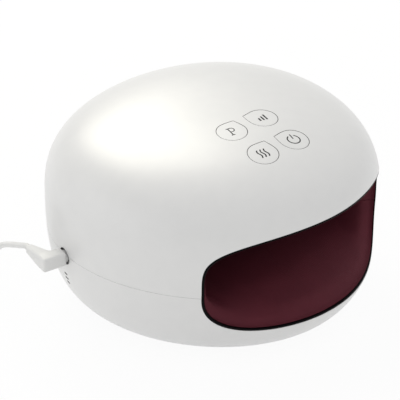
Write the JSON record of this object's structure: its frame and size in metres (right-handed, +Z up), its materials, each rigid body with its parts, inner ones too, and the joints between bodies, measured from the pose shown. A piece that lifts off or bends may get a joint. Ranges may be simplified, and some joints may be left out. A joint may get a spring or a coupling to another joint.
{
  "type": "hand massager",
  "caption": "Domed tabletop hand massager: a padded hand chamber behind a wide front opening, soft keys on top, rubber feet, and a side socket with an angled plug and lead.",
  "frame": {"origin": "Middle of the body, on the surface that its feet stand on.", "axes": "+Z is up, +Y is the way the hand goes in, from the opening to the back, and +X is the user's right."},
  "size_m": [0.2494, 0.3252, 0.12],
  "materials": {
    "pearl_shell": "satin gloss",
    "gloss_black": "gloss",
    "satin_black": "satin",
    "wine_fabric": "soft sheen",
    "foot_rubber": "matte",
    "cord_white": "satin",
    "board_green": "satin",
    "steel": "plain",
    "brass": "plain",
    "cell_blue": "shrink sleeve",
    "bladder_film": "satin",
    "clear_tube": "smooth",
    "amber_film": "smooth"
  },
  "bodies": {
    "housing": {"upper_shell": "pearl_shell", "lower_shell": "pearl_shell", "opening_ring": "gloss_black", "upper_tray": "satin_black", "lower_tray": "satin_black", "upper_cushion": "wine_fabric", "lower_cushion": "wine_fabric", "upper_bladder": "bladder_film", "lower_bladder": "bladder_film", "heater_film": "amber_film", "switch_program": "satin_black", "switch_level": "satin_black", "switch_heat": "satin_black", "switch_power": "satin_black", "key_bracket": "satin_black", "control_board": "board_green", "board_screw_1": "steel", "board_screw_2": "steel", "rear_frame": "satin_black", "battery_pack": "cell_blue", "frame_screw_1": "steel", "frame_screw_2": "steel", "pump_motor": "steel", "pump_head": "satin_black", "valve_upper": "steel", "valve_lower": "steel", "air_manifold": "satin_black", "supply_tube": "clear_tube", "upper_tube": "clear_tube", "lower_tube": "clear_tube", "main_board": "board_green", "main_screw_1": "steel", "main_screw_2": "steel", "control_lead": "satin_black", "dc_jack": "satin_black", "foot_1": "foot_rubber", "foot_2": "foot_rubber", "foot_3": "foot_rubber", "foot_4": "foot_rubber", "foot_5": "foot_rubber", "chamber_screw_1": "steel", "chamber_screw_2": "steel", "chamber_screw_3": "steel", "chamber_screw_4": "steel", "housing_screw_1": "steel", "housing_screw_2": "steel"},
    "program_key": {"key_program": "pearl_shell"},
    "level_key": {"key_level": "pearl_shell"},
    "heat_key": {"key_heat": "pearl_shell"},
    "power_key": {"key_power": "pearl_shell"},
    "rotor": {"pump_rotor": "brass"},
    "upper_plunger": {"plunger_upper": "brass"},
    "lower_plunger": {"plunger_lower": "brass"},
    "supply_lead": {"cord_plug": "cord_white", "plug_barrel": "steel", "cord": "cord_white", "cord_coil": "cord_white", "cord_tie": "satin_black", "usb_body": "cord_white", "usb_shell": "steel"}
  },
  "joints": [
    {"name": "program_press", "type": "slide", "parent": "housing", "child": "program_key", "axis": [0, 0.1006, -0.9949], "range_m": [0, 0.0005], "stiffness_N_per_m": 2000, "springref_m": -0.0001},
    {"name": "level_press", "type": "slide", "parent": "housing", "child": "level_key", "axis": [0, 0.1006, -0.9949], "range_m": [0, 0.0005], "stiffness_N_per_m": 2000, "springref_m": -0.0001},
    {"name": "heat_press", "type": "slide", "parent": "housing", "child": "heat_key", "axis": [0, 0.1006, -0.9949], "range_m": [0, 0.0005], "stiffness_N_per_m": 2000, "springref_m": -0.0001},
    {"name": "power_press", "type": "slide", "parent": "housing", "child": "power_key", "axis": [0, 0.1006, -0.9949], "range_m": [0, 0.0005], "stiffness_N_per_m": 2000, "springref_m": -0.0001},
    {"name": "pump_spin", "type": "hinge", "parent": "housing", "child": "rotor", "pos_m": [-0.014, 0.068, 0.06205], "axis": [1, 0, 0], "continuous": true},
    {"name": "upper_valve_open", "type": "slide", "parent": "housing", "child": "upper_plunger", "axis": [0, 0, -1], "range_m": [0, 0.0012], "stiffness_N_per_m": 500, "springref_m": -0.0004},
    {"name": "lower_valve_open", "type": "slide", "parent": "housing", "child": "lower_plunger", "axis": [0, 0, -1], "range_m": [0, 0.0012], "stiffness_N_per_m": 500, "springref_m": -0.0004},
    {"name": "plug_pull", "type": "slide", "parent": "housing", "child": "supply_lead", "axis": [-0.9725, 0.2328, 0], "range_m": [0, 0.01]}
  ]
}
